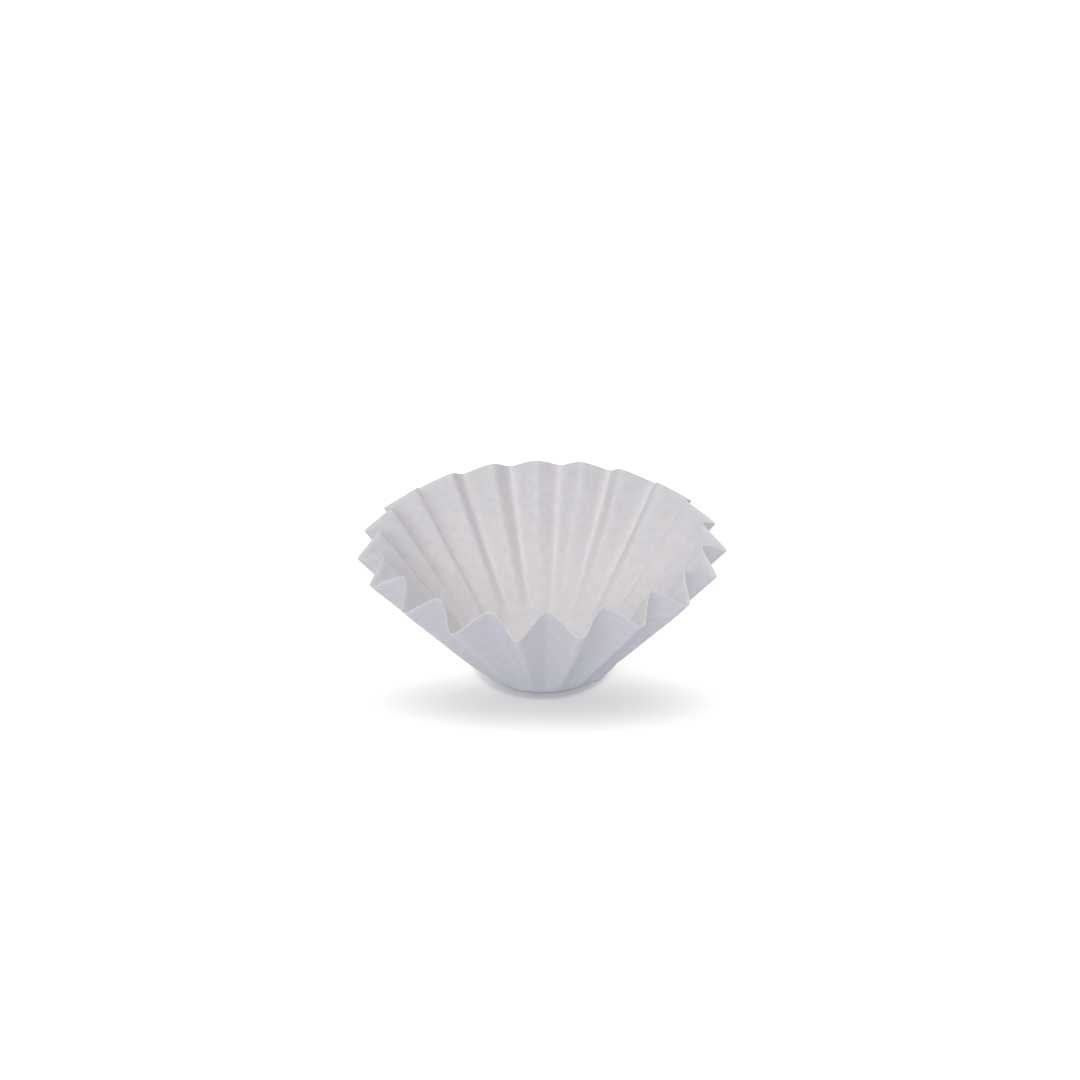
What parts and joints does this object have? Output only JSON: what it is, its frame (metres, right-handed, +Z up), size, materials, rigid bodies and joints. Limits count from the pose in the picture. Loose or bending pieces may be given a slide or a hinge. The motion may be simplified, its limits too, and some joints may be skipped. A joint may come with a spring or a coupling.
{
  "type": "paper coffee filter",
  "caption": "White paper coffee filter: a round sheet pressed into a fluted, open-topped cup with a flat round base.",
  "frame": {"origin": "centre of the flat base, on the surface that the filter stands on", "axes": "+Z up along the cup's axis, out of its open mouth; one outward fold of the flutes lies over +X"},
  "size_m": [0.1376, 0.1376, 0.058],
  "materials": {
    "filter_paper": "matte, bleached white, faintly fibrous"
  },
  "bodies": {
    "root": {"coffee_filter": "filter_paper"}
  },
  "joints": []
}
